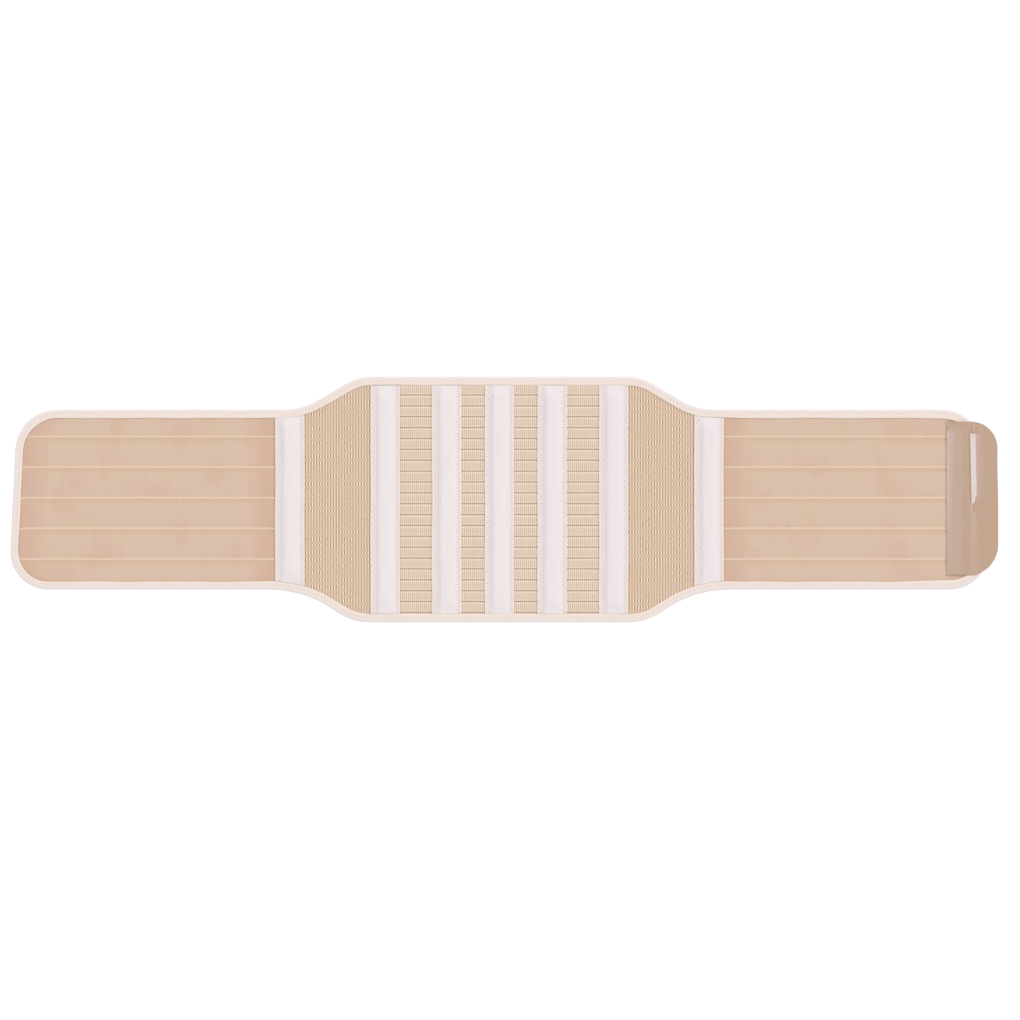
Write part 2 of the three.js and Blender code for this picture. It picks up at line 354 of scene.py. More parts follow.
def belt_edge():
    """The belt's outer edge from above, anticlockwise and evenly spaced: the binding's widest ring."""
    low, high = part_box("edge_binding")
    points = points_of(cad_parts["edge_binding"])
    widest = np.abs(points[:, 2] - (low.z + high.z) / 2) < RING_TOLERANCE
    ring = np.unique(points[widest][:, :2].round(6), axis=0)
    ring = ring[np.argsort(np.arctan2(ring[:, 1], ring[:, 0]))]
    even = even_places(ring, EDGE_STEP, BINDING_STEP)
    for _ in range(EDGE_SMOOTHING):
        even = (np.roll(even, 1, axis=0) + 2 * even + np.roll(even, -1, axis=0)) / 4
    return even


def inward_of(loop):
    """The direction into the belt at each point of its edge."""
    along = np.roll(loop, -1, axis=0) - np.roll(loop, 1, axis=0)
    along /= np.linalg.norm(along, axis=1)[:, None]
    return np.column_stack([-along[:, 1], along[:, 0]])


def edge_search(loop):
    tree = kdtree.KDTree(len(loop))
    for index, (x, y) in enumerate(loop):
        tree.insert((x, y, 0), index)
    tree.balance()
    return tree


EDGE = belt_edge()
INWARD = inward_of(EDGE)
EDGE_SEARCH = edge_search(EDGE)


def inside_distance(points):
    """Distance in from the belt's edge for each point, negative outside it."""
    nearest = np.array([EDGE_SEARCH.find((x, y, 0))[1] for x, y in points[:, :2]])
    return ((points[:, :2] - EDGE[nearest]) * INWARD[nearest]).sum(axis=1)


def edge_y(x, inset, side=1):
    """How far from the middle the top (1) or bottom (-1) edge, moved in by an inset, lies at each x."""
    loop = EDGE + INWARD * inset
    edge = loop[side * loop[:, 1] > 0]
    edge = edge[np.argsort(edge[:, 0])]
    return np.interp(x, edge[:, 0], side * edge[:, 1])


def flat_size(node):
    """A node's width and height, as it lies."""
    low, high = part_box(node)
    return high.x - low.x, high.y - low.y


WING_MIDDLE = sum(corner.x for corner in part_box("wing_right")) / 2
POCKET_HALF = flat_size("wing_pocket_right")[0] / 2
FIELD_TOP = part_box(BACK)[1].z
# The tapes and the tab lie just clear of the panels' faces.
SEAT = FIELD_TOP + 0.05 * MM
# The panels start this far in from the belt's edge, as a thin rim between these two heights, and reach
# their full thickness from just before to just past the binding's inner edge.
PANEL_TUCK = 3.2 * MM
RIM_TOP = 2.25 * MM
RIM_UNDER = 1.35 * MM
RIM_RISE = (-0.8 * MM, 1 * MM)


def wing_limit(inset):
    """Half the wing's height, moved in by an inset."""
    return edge_y(np.array([WING_MIDDLE]), inset)[0]


def end_x(y, inset):
    """How far the wing's end, moved in by an inset, reaches from the belt's middle at each y."""
    loop = EDGE + INWARD * inset
    flat = wing_limit(inset) - 0.01 * MM
    end = loop[(loop[:, 0] > WING_MIDDLE) & (np.abs(loop[:, 1]) < flat)]
    end = end[np.argsort(end[:, 1])]
    return np.interp(y, end[:, 1], end[:, 0])


def lay_panel(piece, upper, relief, sizes):
    """Sets a panel's two sides: the relief on its field, thinning to the rim that the binding holds."""
    points = points_of(piece)
    depth = inside_distance(points)
    free = ease(*RIM_RISE, depth - sizes.binding_width)
    top = RIM_TOP + (relief - RIM_TOP) * free
    points[:, 2] = np.where(upper, top, RIM_UNDER * (1 - free))
    move_points(piece, points)


# Sewing

# A stitch's bend, which dips its ends, and the share of the way to the next stitch that it covers.
STITCH_BEND = 1.6
STITCH_SHARE = 0.72
HEM_STITCH_SHARE = 0.66


def stitch_shape():
    """One stitch along X, one unit long and thick: a plump little arch whose ends dip into the cloth."""
    bpy.ops.object.select_all(action="DESELECT")
    bpy.ops.mesh.primitive_uv_sphere_add(segments=6, ring_count=5, radius=0.5)
    stitch = bpy.context.object
    points = points_of(stitch)[:, [2, 0, 1]]
    points[:, 2] -= STITCH_BEND * points[:, 0] ** 2
    faces = [tuple(face.vertices) for face in stitch.data.polygons]
    bpy.data.objects.remove(stitch)
    return points, faces


def sew(name, places, headings, length, thickness, material):
    """A row of stitches as one piece: a stitch at each place, turned to its heading."""
    shape, faces = stitch_shape()
    shape = shape * (length, thickness, thickness)
    cos, sin = np.cos(headings)[:, None], np.sin(headings)[:, None]
    x = places[:, :1] + cos * shape[:, 0] - sin * shape[:, 1]
    y = places[:, 1:2] + sin * shape[:, 0] + cos * shape[:, 1]
    z = places[:, 2:3] + np.broadcast_to(shape[:, 2], x.shape)
    mesh = bpy.data.meshes.new(name)
    points = np.stack([x, y, z], axis=2).reshape(-1, 3)
    starts = range(0, len(points), len(shape))
    joined = [[start + i for i in face] for start in starts for face in faces]
    mesh.from_pydata(points.tolist(), [], joined)
    piece = bpy.data.objects.new(name, mesh)
    bpy.context.scene.collection.objects.link(piece)
    return finish_piece(piece, material, smooth_below=80)


def sewing_thread(name, colour):
    """Spun polyester thread: matt, slightly lustrous, with the light and dark of its twist."""
    material, tree, shader = new_material(name, {"Roughness": 0.7, "Specular IOR Level": 0.3})
    # The twist is finer than a pixel, so it is drawn as coarse as it needs to show.
    twist = read_patterns(tree, [(0.8 * MM, 1, 1)], [])[0]
    shade = add_node(tree, "MapRange", {"Value": twist, "To Min": 0.88, "To Max": 1.06})
    tint = add_node(tree, "HueSaturation", {"Value": shade, "Color": colour})
    tree.links.new(tint, shader.inputs["Base Color"])
    return material


# Wings

WING_LINES = 5
WING_ROWS = 60
WING_COLUMNS = 112
# Where the grid is finer: beside each sewn line, and out from the seam, at the edge of the tape over it.
BESIDE_LINE = np.array([-3, -2.2, -1.5, -1, -0.6, -0.3, 0, 0.3, 0.6, 1, 1.5, 2.2, 3, 4]) * MM
BESIDE_TAPE = np.array([12.6, 13.4, 13.8, 14.2, 14.6, 15, 15.6, 16.4]) * MM


def wing_place(node):
    """1 for the right wing or -1 for the left one, and how far its seam lies from the belt's middle."""
    low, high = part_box(node)
    return (1 if low.x > 0 else -1), min(abs(low.x), abs(high.x))


def wing_lines(sizes):
    return sizes.line_first - sizes.line_pitch * np.arange(WING_LINES)


def wing_relief(points, sizes):
    """A wing's face: low crowned bands between raised sewn lines, with small puckers along the lines."""
    x, y = points[:, 0], points[:, 1]
    below = line_offset(y, sizes.line_first, sizes.line_pitch)
    line = hump(below, 0.75 * MM) * sizes.line_height
    valley = 0.35 * MM * hump(below - 2 * MM, 1.2 * MM) + 0.2 * MM * hump(below + 1.9 * MM, 1 * MM)
    crown = 0.3 * MM * np.cos(math.pi * below / sizes.line_pitch) ** 2
    pucker = wander(x, 0.1 * MM, 9 * MM) * np.exp(-np.abs(below + 4 * MM) / (4 * MM))
    sway = wander(x, 0.12 * MM, 74 * MM, 0.9) * wander(y, 1, 58 * MM, 2.1)
    return FIELD_TOP - 0.3 * MM - crown + line - valley + pucker + sway


def make_wing(node, sizes, material):
    side, seam = wing_place(node)
    limit = wing_limit(PANEL_TUCK)
    beside_lines = (wing_lines(sizes)[:, None] + BESIDE_LINE).ravel()
    rows = np.unique(np.concatenate([np.linspace(-limit, limit, WING_ROWS), beside_lines]))
    length = end_x(np.zeros(1), PANEL_TUCK)[0] - seam
    shares = np.unique(np.concatenate([np.linspace(0, 1, WING_COLUMNS), BESIDE_TAPE / length]))
    piece = start_grid(node + "_velour", shares if side > 0 else 1 - shares[::-1], rows)
    upper = thicken(piece)
    points = points_of(piece)
    share = points[:, 0] if side > 0 else 1 - points[:, 0]
    short = end_x(points[:, 1], PANEL_TUCK) - seam - length
    reach = seam + length * share + short * ease(0.1, 1, share)
    points[:, 0] = side * reach
    move_points(piece, points)
    lay_panel(piece, upper, wing_relief(points, sizes), sizes)
    below = line_offset(points[:, 1], sizes.line_first, sizes.line_pitch)
    from_end = end_x(points[:, 1], 0) - reach
    from_tape = reach - seam - POCKET_HALF - sizes.tape_spread
    # A pinker tone towards each wing's end and beside its tape.
    turned = np.maximum(1 - ease(10 * MM, 42 * MM, from_end), 1 - ease(4 * MM, 34 * MM, from_tape))
    # Painted shade in the hollow under each raised line, and a painted shadow along the edge of the tape
    # over the seam.
    valley = np.maximum(hump(below - 2.6 * MM, 2 * MM), 2 * hump(from_tape - 0.5 * MM, 0.8 * MM))
    # The line mark is partly the raised lines' own paler colour and partly a painted highlight on their
    # tops.
    mark(piece, "line", np.where(upper, hump(below, 1.05 * MM), 0))
    mark(piece, "valley", np.where(upper, valley, 0))
    mark(piece, "turned", np.where(upper, turned, 0))
    return finish_piece(piece, material, node)


def sew_wing(node, sizes, material):
    """Running stitches along the wing's raised lines, from the tape to the binding or under the tab."""
    side, seam = wing_place(node)
    places = []
    for y in wing_lines(sizes):
        first = seam + POCKET_HALF + 0.9 * MM
        last = end_x(np.array([y]), sizes.binding_width)[0] - 1.5 * MM
        if side > 0:
            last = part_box("hook_tab")[0].x + 3 * MM
        x = np.arange(first, last, sizes.line_stitch)
        places.append(np.column_stack([side * x, np.full(len(x), y), np.zeros(len(x))]))
    places = np.vstack(places)
    places[:, 2] = wing_relief(places, sizes) + 0.02 * MM
    headings = wander(places[:, 0], 0.05, 31 * MM)
    length = STITCH_SHARE * sizes.line_stitch
    return sew(node + "_stitching", places, headings, length, sizes.thread, material)


def loop_velour(colours):
    """Brushed loop velour: matt and soft, its pile lying in faint clouds and upright streaks."""
    material, tree, shader = new_material(
        "loop_velour",
        {"Roughness": 0.95, "Specular IOR Level": 0.15, "Sheen Weight": 0.1, "Sheen Roughness": 0.6},
    )
    # The loops of the pile are finer than a pixel, so it is drawn as coarse as it needs to show.
    noises = ((45 * MM, 1, 2), (4 * MM, 10, 1), (1.4 * MM, 1, 2))
    patterns = read_patterns(tree, noises, ("line", "valley", "turned"))
    clouds, streaks, pile, line, valley, turned = patterns
    patch = add_node(tree, "MapRange", {"Value": clouds, 1: 0.5, 2: 0.75, 3: 0, 4: 0.7})
    # Pinker in random patches, and towards each wing's end and tape.
    pink = add_node(tree, "Math", {0: patch, 1: turned}, operation="MAXIMUM")
    faint = add_node(tree, "MapRange", {"Value": streaks, 1: 0.4, 2: 0.75, 3: 0, 4: 0.3})
    # The valley mark is painted shade under the lines and beside the tape; the faint streaks of the pile
    # are added to it.
    shade = add_node(tree, "Math", {0: valley, 1: 0.6, 2: faint}, operation="MULTIPLY_ADD")
    layers = ((pink, colours.velour_pink), (shade, colours.velour_shade), (line, colours.velour_line))
    dress(tree, shader, colours.velour, layers, pile, 0.3 * MM, 0.5)
    return material


class BRACE_OT_wings(bpy.types.Operator):
    """Makes the two velour wings with their raised sewn lines"""

    bl_idname = "brace.wings"
    bl_label = "Make wings"

    def execute(self, context):
        sizes, colours = context.scene.brace_sizes, context.scene.brace_colours
        velour = loop_velour(colours)
        thread = sewing_thread("wing_thread", colours.thread_wing)
        for node in WINGS:
            piece = make_wing(node, sizes, velour)
            stitching = sew_wing(node, sizes, thread)
        return {"FINISHED"}


# Gussets

# Stations over one cell of the weave, as shares of its width and height.
CELL_ACROSS = np.array([0, 0.22, 0.36, 0.5, 0.64, 0.78, 1])
CELL_ALONG = np.array([0, 0.25, 0.5, 0.75, 1])


def make_gusset(node, sizes, material):
    """Open-work: one cell of the weave, repeated over the panel, cut to its outline and given relief."""
    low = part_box(node)[0]
    width, height = flat_size(node)
    columns = round(width / sizes.mesh_column)
    column = width / columns
    row = sizes.mesh_row
    rows = math.ceil(height / row) + 1
    piece = start_grid(node + "_openwork", CELL_ACROSS * column, CELL_ALONG * row)
    repeat = {"use_relative_offset": False, "use_constant_offset": True, "use_merge_vertices": True}
    repeat["merge_threshold"] = 0.01 * MM
    apply_modifier(piece, "ARRAY", count=columns, constant_offset_displace=(column, 0, 0), **repeat)
    apply_modifier(piece, "ARRAY", count=rows, constant_offset_displace=(0, row, 0), **repeat)
    lowest_slot = sizes.mesh_first - row * math.ceil((sizes.mesh_first - low.y) / row)
    move_points(piece, points_of(piece) + (low.x, lowest_slot - row / 2, 0))
    delete_faces(piece, inside_distance(face_centres(piece)) < PANEL_TUCK)
    upper = thicken(piece)
    points = points_of(piece)
    turns = (points[:, 0] - low.x) / column
    wave = 0.5 + 0.5 * np.cos(TURN * turns)
    dash = 0.5 + 0.5 * np.cos(TURN * line_offset(points[:, 1], sizes.mesh_first, row) / row)
    rise = 0.5 * MM * ease(0.2, 0.8, wave) * dash
    drop = 0.4 * MM * (1 - wave) * dash
    relief = FIELD_TOP - 0.45 * MM + rise - drop
    lay_panel(piece, upper, relief, sizes)
    mark(piece, "columns", turns)
    mark(piece, "rows", (sizes.mesh_first - points[:, 1]) / row)
    return finish_piece(piece, material, node)


def openwork_elastic(colours):
    """Open-work elastic: tan ground yarn under raised, lustrous cream floats, with painted shade between
    them.
    """
    sockets = {"Roughness": 0.8, "Specular IOR Level": 0.25}
    material, tree, shader = new_material("openwork_elastic", sockets)
    # The yarn is finer than a pixel, so it is drawn as coarse as it needs to show.
    noises = ((0.7 * MM, 1, 2), (9 * MM, 1, 2))
    yarn, uneven, *cells = read_patterns(tree, noises, ("columns", "rows"))
    angles = [add_node(tree, "Math", {0: cell, 1: TURN}, operation="MULTIPLY") for cell in cells]
    across, down = [add_node(tree, "Math", {0: angle}, operation="COSINE") for angle in angles]
    soft = {"interpolation_type": "SMOOTHSTEP"}
    bright = add_node(tree, "MapRange", {"Value": uneven, 1: 0.4, 2: 0.6, 3: 0.4, 4: 1})
    cord = add_node(tree, "MapRange", {"Value": across, 1: -0.2, 2: 0.9, 3: 0, 4: 1}, **soft)
    dash = add_node(tree, "MapRange", {"Value": down, 1: -0.3, 2: 0.6, 3: 0.1, 4: 1}, **soft)
    # Painted shade: the gap colour darkens the hollows between the cords.
    hollow = add_node(tree, "MapRange", {"Value": across, 1: 0.1, 2: -0.8, 3: 0, 4: 1}, **soft)
    deep = add_node(tree, "MapRange", {"Value": down, 1: -0.6, 2: 0.6, 3: 0.25, 4: 1}, **soft)
    shares = []
    for upright, level in ((hollow, deep), (cord, dash)):
        cell = add_node(tree, "Math", {0: upright, 1: level}, operation="MULTIPLY")
        shares.append(add_node(tree, "Math", {0: cell, 1: bright}, operation="MULTIPLY"))
    layers = zip(shares, (colours.openwork_gap, colours.openwork_float))
    dress(tree, shader, colours.openwork, layers, yarn, 0.2 * MM, 0.4)
    return material


class BRACE_OT_gussets(bpy.types.Operator):
    """Makes the two open-work gussets"""

    bl_idname = "brace.gussets"
    bl_label = "Make gussets"

    def execute(self, context):
        material = openwork_elastic(context.scene.brace_colours)
        for node in GUSSETS:
            piece = make_gusset(node, context.scene.brace_sizes, material)
        return {"FINISHED"}


# Back panel

# Stations over one rib, as shares of the way down from the groove above it.
RIB_STATIONS = np.array([0, 0.05, 0.11, 0.24, 0.5, 0.76, 0.89, 0.95])
# Further in than this from a tape's sides the cords are hidden, and the grid keeps one column in 14.
COVERED_MARGIN = 1 * MM
COVERED_STEP = 14


def rib_relief(points, sizes):
    """The back's face: crowned cross ribs between grooves, made of fine upright cords."""
    below = np.abs(line_offset(points[:, 1], sizes.rib_first, sizes.rib_pitch))
    groove = sizes.groove_depth * hump(below, 0.55 * MM)
    crown = 0.25 * MM * np.cos(math.pi * (0.5 - below / sizes.rib_pitch))
    cords = 0.16 * MM * np.cos(TURN * points[:, 0] / sizes.cord_pitch) * ease(0.8 * MM, 2.2 * MM, below)
    return FIELD_TOP - 0.25 * MM + crown + cords - groove


def make_back(sizes, material):
    low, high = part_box(BACK)
    fine = np.arange(low.x, high.x, sizes.cord_pitch / 4)
    kept = np.arange(len(fine)) % COVERED_STEP == 0
    covered = np.zeros(len(fine), bool)
    for node in BACK_POCKETS:
        tape_low, tape_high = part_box(node)
        covered |= (fine > tape_low.x + COVERED_MARGIN) & (fine < tape_high.x - COVERED_MARGIN)
    across = np.append(fine[~covered | kept], high.x)
    limit = edge_y(np.array([0.0]), PANEL_TUCK)[0]
    lines = sizes.rib_first - sizes.rib_pitch * np.arange(-1, math.ceil(2 * limit / sizes.rib_pitch))
    along = np.sort((lines[:, None] - RIB_STATIONS * sizes.rib_pitch).ravel())
    along = np.concatenate([[-limit], along[np.abs(along) < limit - 0.1 * MM], [limit]])
    piece = start_grid("back_ribbing", across, along)
    upper = thicken(piece)
    points = points_of(piece)
    lay_panel(piece, upper, rib_relief(points, sizes), sizes)
    below = np.abs(line_offset(points[:, 1], sizes.rib_first, sizes.rib_pitch))
    mark(piece, "groove", np.where(upper, hump(below, 0.39 * MM), 0))
    mark(piece, "lip", np.where(upper, hump(below - 1.35 * MM, 0.6 * MM), 0))
    mark(piece, "cord", np.where(upper, np.cos(TURN * points[:, 0] / sizes.cord_pitch), 0))
    return finish_piece(piece, material, BACK)


def ribbed_elastic(colours):
    """Woven ribbed elastic: fine cream and tan cords, pale rib edges and brown grooves between ribs."""
    sockets = {"Roughness": 0.85, "Specular IOR Level": 0.2}
    material, tree, shader = new_material("ribbed_elastic", sockets)
    # The yarn is finer than a pixel, so it is drawn as coarse as it needs to show.
    noises = ((12 * MM, 1, 2), (0.7 * MM, 1, 2))
    uneven, yarn, groove, lip, cord = read_patterns(tree, noises, ("groove", "lip", "cord"))
    strength = add_node(tree, "MapRange", {"Value": uneven, 1: 0.44, 2: 0.56, 3: 0.1, 4: 0.85})
    height = add_node(tree, "Math", {0: cord, 1: strength}, operation="MULTIPLY")
    crest = add_node(tree, "MapRange", {"Value": height, 1: -1, 2: 1})
    pale = add_node(tree, "Math", {0: lip, 1: 0.6}, operation="MULTIPLY")
    layers = ((crest, colours.rib_cord), (pale, colours.rib_lip), (groove, colours.rib_groove))
    dress(tree, shader, colours.rib_seam, layers, yarn, 0.2 * MM, 0.4)
    return material


class BRACE_OT_back_panel(bpy.types.Operator):
    """Makes the ribbed elastic back panel"""

    bl_idname = "brace.back_panel"
    bl_label = "Make back panel"

    def execute(self, context):
        material = ribbed_elastic(context.scene.brace_colours)
        piece = make_back(context.scene.brace_sizes, material)
        return {"FINISHED"}


# Pocket tapes

# A tape's grid: columns in from each of its sides, rows in from each of its ends, and even rows between.
TAPE_COLUMNS = np.array([
    0, 0.15, 0.4, 0.8, 1.2, 1.6, 2, 2.4, 2.8, 3.2, 3.6, 4, 4.4, 4.8, 5.4, 5.9, 6.4, 7.2, 7.9, 8.6, 9.6,
    11, 12.4,
]) * MM
TAPE_END_ROWS = np.array([0, 0.4, 1, 1.8, 2.6, 4, 6, 8, 10, 12]) * MM
TAPE_EVEN_FROM = 14 * MM
TAPE_EVEN_ROWS = 90
# Fine lines sunk along a tape: the side they are on, their distance from that edge and their width in
# millimetres, and their strength. The two nearest the left edge, at 2 and 4 millimetres, are painted shade
# along the hem's fold.
TAPE_LINES = (
    (-1, 2, 0.5, 0.5),
    (-1, 4, 0.5, 0.6),
    (-1, 5.9, 0.5, 0.8),
    (-1, 7.9, 0.5, 0.5),
    (1, 3.2, 0.7, 0.7),
)
# Cloth turned under along both of a tape's sides, and the swing and slant of its stitches.
HEM_SWING = 0.7 * MM
HEM_SLANT = 0.4


def tape_span(node, sizes):
    """Where a tape's middle lies along X, and half of its width as it is spread."""
    low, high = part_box(node)
    return (low.x + high.x) / 2, (high.x - low.x) / 2 + sizes.tape_spread


def tape_sway(run, number):
    """How far a tape strays sideways along its run."""
    return wander(run, 0.25 * MM, 120 * MM, 0.7 * number)


def tape_relief(from_edge, from_end, off_centre, sizes):
    """Height of a pocket tape above its seat: a folded lip, a sewn hem and a crowned middle."""
    lip = 0.18 * MM * hump(from_edge - 0.9 * MM, 0.7 * MM)
    fold = 0.35 * MM * (1 - ease(0, 0.5 * MM, from_edge))
    sewn = 0.25 * MM * hump(from_edge - sizes.hem_sewing, 0.6 * MM)
    crown = ease(3.9 * MM, 11 * MM, from_edge) * (1 - 0.05 * (off_centre / POCKET_HALF) ** 2)
    full = ease(1 * MM, 13 * MM, from_end)
    ends = 0.25 * MM * (1 - ease(0, 2.5 * MM, from_end))
    return sizes.hem_thickness + lip - fold - sewn + sizes.pocket_crown * crown * full - ends


def make_tape(node, number, sizes, material):
    centre, half = tape_span(node, sizes)
    across = np.concatenate([TAPE_COLUMNS - half, [0], half - TAPE_COLUMNS[::-1]])
    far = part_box(node)[1].y
    even = np.linspace(TAPE_EVEN_FROM - far, far - TAPE_EVEN_FROM, TAPE_EVEN_ROWS)
    along = np.concatenate([TAPE_END_ROWS - far, even, far - TAPE_END_ROWS[::-1]]) / far
    piece = start_grid(node + "_tape", across, along)
    upper = thicken(piece)
    points = points_of(piece)
    off_centre = points[:, 0].copy()
    from_edge = half - np.abs(off_centre)
    inset = sizes.binding_width + 0.05 * MM
    wider = BINDING_BACK_TOP if node in BACK_POCKETS else 0
    top = edge_y(centre + off_centre, inset + wider)
    bottom = edge_y(centre + off_centre, inset, -1)
    run = points[:, 1] * np.where(points[:, 1] > 0, top, bottom)
    from_end = np.minimum(top - run, bottom + run)
    drift = wander(run, 0.3 * MM, 96 * MM, 1.3 * number)
    lines = sum(
        weight * hump(off_centre - side * (half - place * MM) + drift, width * MM)
        for side, place, width, weight in TAPE_LINES
    )
    height = tape_relief(from_edge, from_end, off_centre, sizes) - 0.1 * MM * lines
    height += wander(run, 0.06 * MM, 41 * MM, number)
    across = centre + off_centre + tape_sway(run, number)
    move_points(piece, np.column_stack([across, run, SEAT + np.where(upper, height, 0)]))
    mark(piece, "hem", np.where(upper, 1 - ease(3.9 * MM, 5.4 * MM, from_edge), 0.5))
    mark(piece, "lip", hump(from_edge - 0.5 * MM, 0.6 * MM) * np.where(off_centre < 0, 0.9, 0.4))
    mark(piece, "line", np.where(upper, lines, 0))
    return finish_piece(piece, material, node)


def sew_tape(node, number, sizes, material):
    """Two rows of stitches, each stitch slanting the other way from the one before."""
    centre, half = tape_span(node, sizes)
    inset = sizes.binding_width + 1.5 * MM
    places = []
    headings = []
    for side in (-1, 1):
        x = centre + side * (half - sizes.hem_sewing)
        top, bottom = [edge_y(np.array([x]), inset, end)[0] for end in (1, -1)]
        y = np.arange(-bottom, top, sizes.hem_stitch) + 0.4 * sizes.hem_stitch * (number % 2)
        y = y[y < top]
        other = (-1.0) ** np.arange(len(y))
        across = x + tape_sway(y, number) + HEM_SWING * other
        places.append(np.column_stack([across, y, np.zeros(len(y))]))
        headings.append(math.pi / 2 + HEM_SLANT * other)
    places = np.vstack(places)
    headings = np.concatenate(headings)
    places[:, 2] = FIELD_TOP + sizes.hem_thickness - 0.1 * MM
    length = HEM_STITCH_SHARE * sizes.hem_stitch
    return sew(node + "_stitching", places, headings, length, sizes.thread, material)


def woven_tape(colours):
    """Smooth woven tape: lilac white, with fine upright weave lines and creamier sewn sides."""
    material, tree, shader = new_material("woven_tape", {"Roughness": 0.8, "Specular IOR Level": 0.25})
    # The threads are finer than a pixel, so they are drawn as coarse as they need to show.
    noises = ((1.3 * MM, 25, 2), (0.8 * MM, 1, 1))
    threads, weave, hem, lip, line = read_patterns(tree, noises, ("hem", "lip", "line"))
    fine = add_node(tree, "MapRange", {"Value": threads, 1: 0.45, 2: 0.75, 3: 0, 4: 0.14})
    # The line mark includes painted shade along the hem's fold.
    sunk = add_node(tree, "Math", {0: line, 1: 0.75, 2: fine}, operation="MULTIPLY_ADD")
    layers = ((sunk, colours.tape_line), (hem, colours.tape_hem), (lip, colours.tape_lip))
    dress(tree, shader, colours.tape, layers, weave, 0.12 * MM, 0.3)
    return material


class BRACE_OT_pockets(bpy.types.Operator):
    """Makes the seven pocket tapes and sews them down"""

    bl_idname = "brace.pockets"
    bl_label = "Make pocket tapes"

    def execute(self, context):
        sizes, colours = context.scene.brace_sizes, context.scene.brace_colours
        tape = woven_tape(colours)
        # The tape thread is tinted darker as painted shade for its needle holes.
        thread = sewing_thread("tape_thread", colours.thread_tape)
        for number, node in enumerate(POCKETS):
            piece = make_tape(node, number, sizes, tape)
            stitching = sew_tape(node, number, sizes, thread)
        return {"FINISHED"}


# Edge binding

# The folded strip's section from its upper inner edge, over the outer fold and back along its inner
# side, as distances in from the belt's edge and heights, in millimetres.
BINDING_SECTION = np.array([
    (8.4, 3.05), (8.36, 3.45), (7.9, 3.66), (7.1, 3.76), (6.2, 3.74), (5.3, 3.66), (4.7, 3.58),
    (4.1, 3.62), (3.2, 3.68), (2.3, 3.66), (1.4, 3.54), (0.7, 3.26), (0.2, 2.7), (0, 1.9), (0.2, 1.1),
    (0.7, 0.55), (1.5, 0.2), (2.6, 0), (5.4, 0), (7.9, 0), (8.36, 0.25), (8.3, 1.0), (5, 1.0),
    (1.7, 1.05), (1.7, 2.55), (5, 2.6), (8.3, 2.62),
]) * MM
# How much wider the strip is sewn, or narrower where negative: along the wings, by the height on the
# belt; by the tab; and along the back's top edge, where its inner edge also lies lower.
BINDING_WINGS = np.array([(-70, -0.65), (60, -0.5), (84, 0.6)]) * MM
BINDING_TAB = 0.8 * MM
BINDING_BACK_TOP = 0.6 * MM
BINDING_LOWER = 0.25 * MM
# How far in from the edge and how high its stitches lie, and how far each turns to one side.
BINDING_SEWING = 4.7 * MM
BINDING_SEWING_HEIGHT = 3.56 * MM
BINDING_SLANT = 0.5


def binding_extra(x, y):
    """How much wider the strip is sewn at each place, and from 0 to 1 how far that is the back's top."""
    by_tab = ease(390 * MM, 440 * MM, x)
    by_wing = ease(215 * MM, 240 * MM, np.abs(x)) * (1 - by_tab)
    by_top = ease(95 * MM, 112 * MM, y) * (0.6 + 0.4 * ease(-60 * MM, 20 * MM, x))
    extra = by_wing * np.interp(y, *BINDING_WINGS.T) + by_tab * BINDING_TAB + by_top * BINDING_BACK_TOP
    return extra, by_top


def make_binding(sizes, material):
    section = np.vstack([BINDING_SECTION, BINDING_SECTION[:1]])
    loop = np.vstack([EDGE, EDGE[:1]])[::BINDING_STEP]
    inward = np.vstack([INWARD, INWARD[:1]])[::BINDING_STEP]
    piece = start_grid("edge_binding_strip", np.arange(len(section)), np.arange(len(loop)))
    points = points_of(piece)
    rib, station = np.rint(points[:, 0]).astype(int), np.rint(points[:, 1]).astype(int)
    depth, height = section[rib, 0], section[rib, 1]
    run = station * BINDING_STEP * EDGE_STEP
    above = height > 2.7 * MM
    pull = np.cos(TURN * run / sizes.binding_stitch)
    height = height + np.where(above, 0.07 * MM * pull * hump(depth - BINDING_SEWING, 1.2 * MM), 0)
    height += np.where(above, wander(run, 0.08 * MM, 37 * MM) * ease(0, 3 * MM, depth), 0)
    extra, by_top = binding_extra(*loop[station].T)
    extra += wander(run, 0.22 * MM, 83 * MM, 0.4)
    lower = BINDING_LOWER * by_top * ease(6.8 * MM, 8.2 * MM, depth)
    height -= np.where(height > 3.1 * MM, lower, 0)
    depth = depth + extra * ease(5 * MM, 8 * MM, depth)
    move_points(piece, np.column_stack([loop[station] + inward[station] * depth[:, None], height]))
    mark(piece, "rim", 1 - ease(0.5 * MM, 4 * MM, depth))
    mark(piece, "lip", np.where(above, ease(6.2 * MM, 7.8 * MM, depth), 0))
    bpy.ops.object.mode_set(mode="EDIT")
    bpy.ops.mesh.select_all(action="SELECT")
    bpy.ops.mesh.remove_doubles(threshold=0.005 * MM)
    bpy.ops.mesh.normals_make_consistent(inside=False)
    bpy.ops.object.mode_set(mode="OBJECT")
    return finish_piece(piece, material, "edge_binding", smooth_below=75)


def sew_binding(sizes, material):
    """One row of zigzag stitches along the middle of the binding."""
    places = even_places(EDGE + INWARD * BINDING_SEWING, sizes.binding_stitch)
    count = len(places)
    turn = np.roll(places, -1, axis=0) - np.roll(places, 1, axis=0)
    headings = np.arctan2(turn[:, 1], turn[:, 0]) + BINDING_SLANT * (-1.0) ** np.arange(count)
    places = np.column_stack([places, np.full(count, BINDING_SEWING_HEIGHT)])
    length = STITCH_SHARE * sizes.binding_stitch
    return sew("binding_stitching", places, headings, length, sizes.thread, material)


